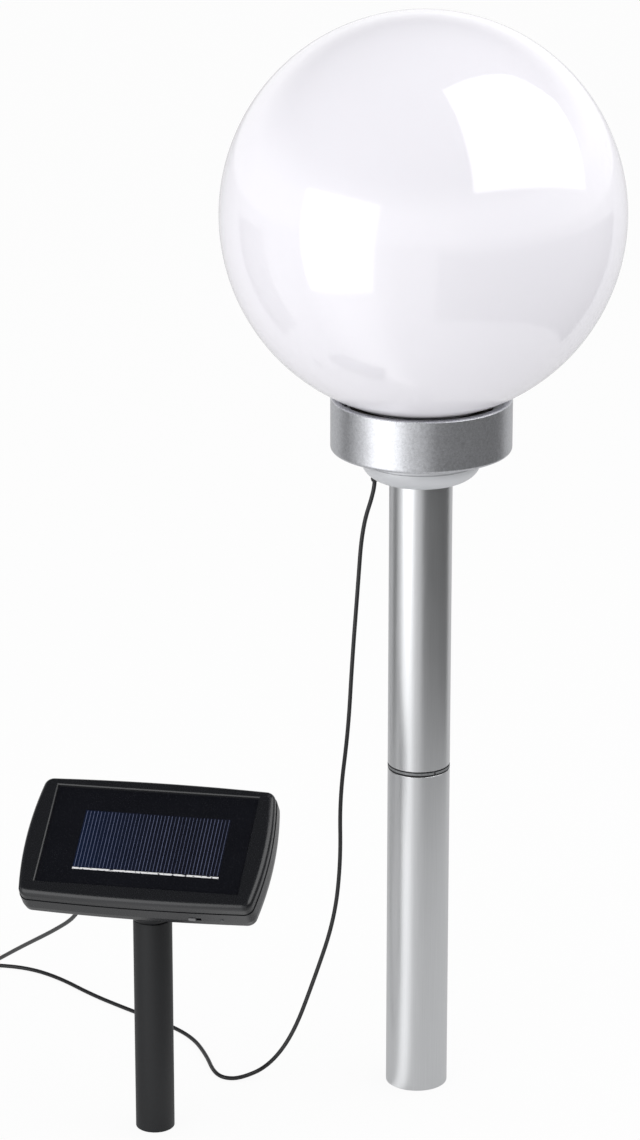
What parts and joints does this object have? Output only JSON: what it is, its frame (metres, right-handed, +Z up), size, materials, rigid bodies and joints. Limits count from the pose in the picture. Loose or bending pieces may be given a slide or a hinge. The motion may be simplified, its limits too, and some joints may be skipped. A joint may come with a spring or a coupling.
{
  "type": "garden globe light",
  "caption": "Round opal garden lamp on a tubular pole, wired by a long cord to a tilting solar panel on its own short stake.",
  "frame": {"origin": "centre of the pole's open lower end, at the ground", "axes": "+Z up the pole, -Y to the front, from where the picture was taken, +X to the right seen from the front"},
  "size_m": [0.6097, 0.3706, 0.845],
  "materials": {
    "pole": "satin",
    "coupler": "plain",
    "band": "finely textured",
    "dish": "satin",
    "screw": "plain",
    "gland": "matt",
    "collar": "speckled metallic",
    "lamp_base": "satin",
    "gasket": "matt",
    "globe": "glossy opal",
    "led_board": "satin",
    "led": "glossy",
    "reflector": "glossy",
    "lead": "satin",
    "stake": "satin",
    "hardware": "plain",
    "wing_nut": "satin",
    "housing": "fine grain",
    "module": "smooth",
    "cell": "smooth",
    "silver_print": "printed",
    "tray": "plain",
    "battery": "sleeved",
    "contact": "plated",
    "board": "coated",
    "component": "plain",
    "switch": "satin",
    "pilot": "clear",
    "cord": "satin",
    "tie": "satin"
  },
  "bodies": {
    "stand": {"lower_tube": "pole", "upper_tube": "pole", "pole_coupler": "coupler", "split_band": "band", "pole_dish": "dish", "dish_screws": "screw", "lamp_gland": "gland", "collar": "collar", "lamp_base": "lamp_base", "seat_ring": "collar", "ring_screws": "screw", "neck_gasket": "gasket", "led_board": "led_board", "board_screws": "screw", "leds": "led", "reflector_plate": "reflector", "reflector_screws": "screw", "lamp_lead": "lead", "panel_stake": "stake", "stake_head": "stake", "tilt_bolt": "hardware", "tilt_washer": "hardware", "cord_lamp": "cord", "cord_coil": "cord", "coil_tie": "tie", "cord_panel": "cord"},
    "globe": {"globe": "globe"},
    "wing_nut": {"wing_nut": "wing_nut"},
    "panel": {"panel_bezel": "housing", "panel_back_shell": "housing", "housing_screws": "screw", "solar_module": "module", "solar_cell": "cell", "cell_fingers": "silver_print", "module_gasket": "gasket", "battery_tray": "tray", "battery_cells": "battery", "battery_contacts": "contact", "control_board": "board", "board_parts": "component", "control_screws": "screw", "switch_body": "component", "pilot_lens": "pilot", "panel_gland": "gland", "panel_lead": "lead"},
    "battery_door": {"battery_door": "housing", "door_screw": "screw"},
    "switch_slider": {"switch_slider": "switch"}
  },
  "joints": [
    {"name": "globe_turn", "type": "hinge", "parent": "stand", "child": "globe", "pos_m": [0, 0, 0.69495], "axis": [0, 0, 1], "range_deg": [0, 35]},
    {"name": "panel_tilt", "type": "hinge", "parent": "stand", "child": "panel", "pos_m": [-0.20249, -0.08273, 0.19938], "axis": [0.9702, -0.241, 0.0262], "range_deg": [-35, 30], "deforming": ["cord_panel"]},
    {"name": "wing_nut_turn", "type": "hinge", "parent": "stand", "child": "wing_nut", "pos_m": [-0.20249, -0.08273, 0.19938], "axis": [0.9702, -0.241, 0.0262], "continuous": true},
    {"name": "battery_door_off", "type": "slide", "parent": "panel", "child": "battery_door", "axis": [0.1641, 0.5736, -0.8025], "range_m": [0, 0.04]},
    {"name": "switch_slide", "type": "slide", "parent": "panel", "child": "switch_slider", "axis": [0.9702, -0.241, 0.0262], "range_m": [0, 0.004]}
  ]
}
